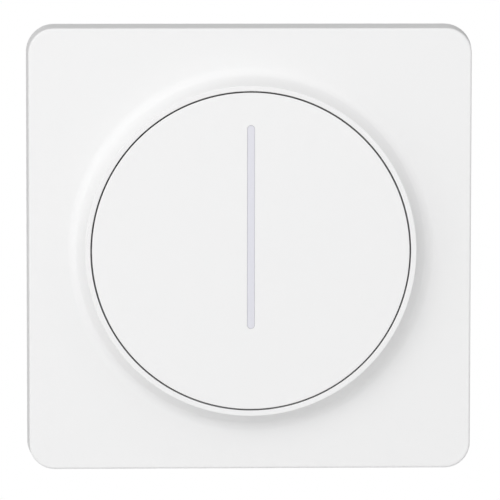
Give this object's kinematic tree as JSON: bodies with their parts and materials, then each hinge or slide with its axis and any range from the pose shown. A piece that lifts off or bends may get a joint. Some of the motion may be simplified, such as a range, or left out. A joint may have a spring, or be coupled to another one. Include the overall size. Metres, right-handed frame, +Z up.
{
  "type": "smart dimmer switch",
  "caption": "Square flush-mounted smart dimmer: raised ring, flush round press face with a vertical light bar, and a wall-box mechanism with screw-driven claws.",
  "frame": {"origin": "centre of the press face's axis on the wall's surface, which the cover plate's rim lies on", "axes": "-Y out of the wall to the room, +Y into the wall box, +Z up, +X to the viewer's right"},
  "size_m": [0.085, 0.0359, 0.085],
  "materials": {
    "cover": "fine satin, very slightly mottled white",
    "face": "smooth satin white",
    "light_guide": "milky clear, unlit",
    "housing_grey": "moulded",
    "housing_black": "moulded, fine grain",
    "frame_steel": "zinc plated",
    "spring_steel": "bright",
    "claw_steel": "yellow passivated zinc",
    "screw_steel": "zinc plated",
    "brass": "plain",
    "gold_pin": "gold flashed",
    "board_green": "solder mask",
    "box_white": "opaque white",
    "led": "clear over a pale die",
    "can_tin": "tin plated",
    "chip_black": "moulded epoxy",
    "switch_black": "moulded",
    "switch_red": "moulded",
    "heat_aluminium": "milled",
    "ferrite": "sintered",
    "copper": "enamelled wire",
    "film_yellow": "moulded box",
    "can_sleeve": "shrunk sleeve",
    "fuse_brown": "lacquer",
    "varistor_blue": "dipped epoxy"
  },
  "bodies": {
    "mechanism": {"cover_plate": "cover", "return_springs": "spring_steel", "front_housing": "housing_grey", "light_box": "box_white", "leds": "led", "control_board": "board_green", "radio_board": "board_green", "shield_can": "can_tin", "processor_chip": "chip_black", "switch_body": "switch_black", "header_strip": "chip_black", "header_pins": "gold_pin", "support_frame": "frame_steel", "rear_housing": "housing_black", "power_board": "board_green", "heat_plate": "heat_aluminium", "transistors": "chip_black", "terminal_cages": "brass", "terminal_screws": "screw_steel", "choke_core": "ferrite", "choke_winding": "copper", "electrolytic_capacitor": "can_sleeve", "film_capacitor": "film_yellow", "fuse": "fuse_brown", "varistor": "varistor_blue", "supply_chip": "chip_black", "housing_screws": "screw_steel"},
    "press_face": {"press_face": "face", "light_guide": "light_guide"},
    "switch_plunger": {"switch_plunger": "switch_red"},
    "right_claw_screw": {"right_claw_screw": "screw_steel"},
    "right_claw_nut": {"right_claw_nut": "claw_steel"},
    "right_claw": {"right_claw": "claw_steel"},
    "left_claw_screw": {"left_claw_screw": "screw_steel"},
    "left_claw_nut": {"left_claw_nut": "claw_steel"},
    "left_claw": {"left_claw": "claw_steel"}
  },
  "joints": [
    {"name": "face_press", "type": "slide", "parent": "mechanism", "child": "press_face", "axis": [0, 1, 0], "range_m": [0, 0.0005], "stiffness_N_per_m": 1500, "springref_m": -0.0005, "deforming": ["return_springs"]},
    {"name": "switch_press", "type": "slide", "parent": "mechanism", "child": "switch_plunger", "axis": [0, 1, 0], "range_m": [0, 0.0005]},
    {"name": "right_nut_run", "type": "slide", "parent": "mechanism", "child": "right_claw_nut", "axis": [0, -1, 0], "range_m": [0, 0.006]},
    {"name": "right_claw_turn", "type": "hinge", "parent": "mechanism", "child": "right_claw_screw", "pos_m": [0.024, 0, -0.007], "axis": [0, 1, 0], "range_deg": [0, 3600.1]},
    {"name": "right_claw_climb", "type": "slide", "parent": "mechanism", "child": "right_claw", "axis": [0.5, -0.866, 0], "range_m": [0, 0.00693]},
    {"name": "left_nut_run", "type": "slide", "parent": "mechanism", "child": "left_claw_nut", "axis": [0, -1, 0], "range_m": [0, 0.006]},
    {"name": "left_claw_turn", "type": "hinge", "parent": "mechanism", "child": "left_claw_screw", "pos_m": [-0.024, 0, 0.007], "axis": [0, 1, 0], "range_deg": [0, 3600.1]},
    {"name": "left_claw_climb", "type": "slide", "parent": "mechanism", "child": "left_claw", "axis": [-0.5, -0.866, 0], "range_m": [0, 0.00693]}
  ],
  "couplings": [
    {"joint": "switch_press", "follows": "face_press", "ratio": 1},
    {"joint": "right_claw_turn", "follows": "right_nut_run", "rad_per_m": 10472},
    {"joint": "right_claw_climb", "follows": "right_nut_run", "ratio": 1.1547},
    {"joint": "left_claw_turn", "follows": "left_nut_run", "rad_per_m": 10472},
    {"joint": "left_claw_climb", "follows": "left_nut_run", "ratio": 1.1547}
  ]
}
